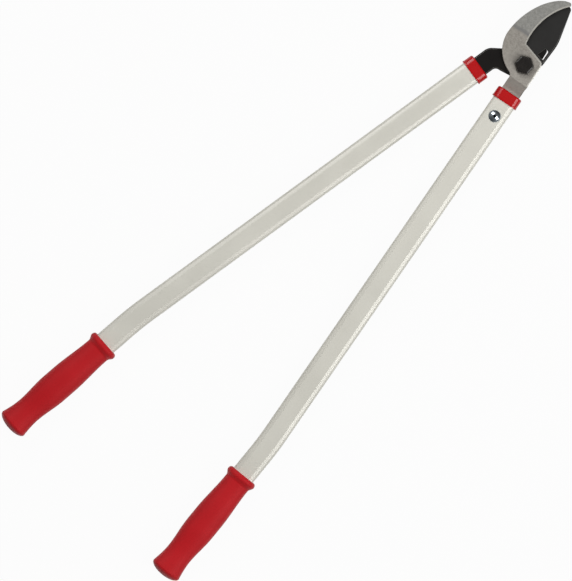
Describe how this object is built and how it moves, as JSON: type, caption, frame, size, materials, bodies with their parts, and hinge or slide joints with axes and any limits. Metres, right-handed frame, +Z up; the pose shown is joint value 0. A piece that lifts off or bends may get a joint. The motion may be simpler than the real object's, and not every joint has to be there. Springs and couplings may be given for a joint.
{
  "type": "bypass lopper",
  "caption": "Long-handled bypass lopper: a hooked jaw and a curved cutting blade on a hex pivot bolt, bent flat-sided tube handles, red ferrules and moulded red grips.",
  "frame": {"origin": "on the pivot axis, at the end face of the pivot bolt, level with the surface that the lopper lies on", "axes": "+Y along the bisector of the shut handles towards the jaw tips, +Z up along the pivot bolt towards its hex head"},
  "size_m": [0.2544, 0.7276, 0.0299],
  "materials": {
    "hook_steel": "matt ground",
    "coated_steel": "satin non-stick coating",
    "black_forging": "matt black",
    "black_oxide": "black oxide",
    "bronze": "turned",
    "zinc": "zinc plated",
    "bright_screw": "bright nickel",
    "nylon": "moulded",
    "silver_tube": "satin silver anodised",
    "red_ferrule": "gloss moulded",
    "red_grip": "satin moulded"
  },
  "bodies": {
    "hook_half": {"hook_blade": "hook_steel", "pivot_bolt": "black_oxide", "flat_washer": "zinc", "disc_spring": "zinc", "lock_nut": "zinc", "nut_insert": "nylon", "hook_tube": "silver_tube", "hook_ferrule": "red_ferrule", "hook_tang_sleeve": "nylon", "hook_tang_screw": "bright_screw", "hook_end_plug": "nylon", "hook_grip": "red_grip"},
    "blade_half": {"cutting_blade": "coated_steel", "lever_arm": "black_forging", "pivot_bush": "bronze", "blade_tube": "silver_tube", "blade_ferrule": "red_ferrule", "blade_tang_sleeve": "nylon", "blade_tang_screw": "bright_screw", "blade_end_plug": "nylon", "blade_grip": "red_grip"}
  },
  "joints": [
    {"name": "pivot", "type": "hinge", "parent": "hook_half", "child": "blade_half", "pos_m": [0, 0, 0], "axis": [0, 0, -1], "range_deg": [-4, 80]}
  ]
}
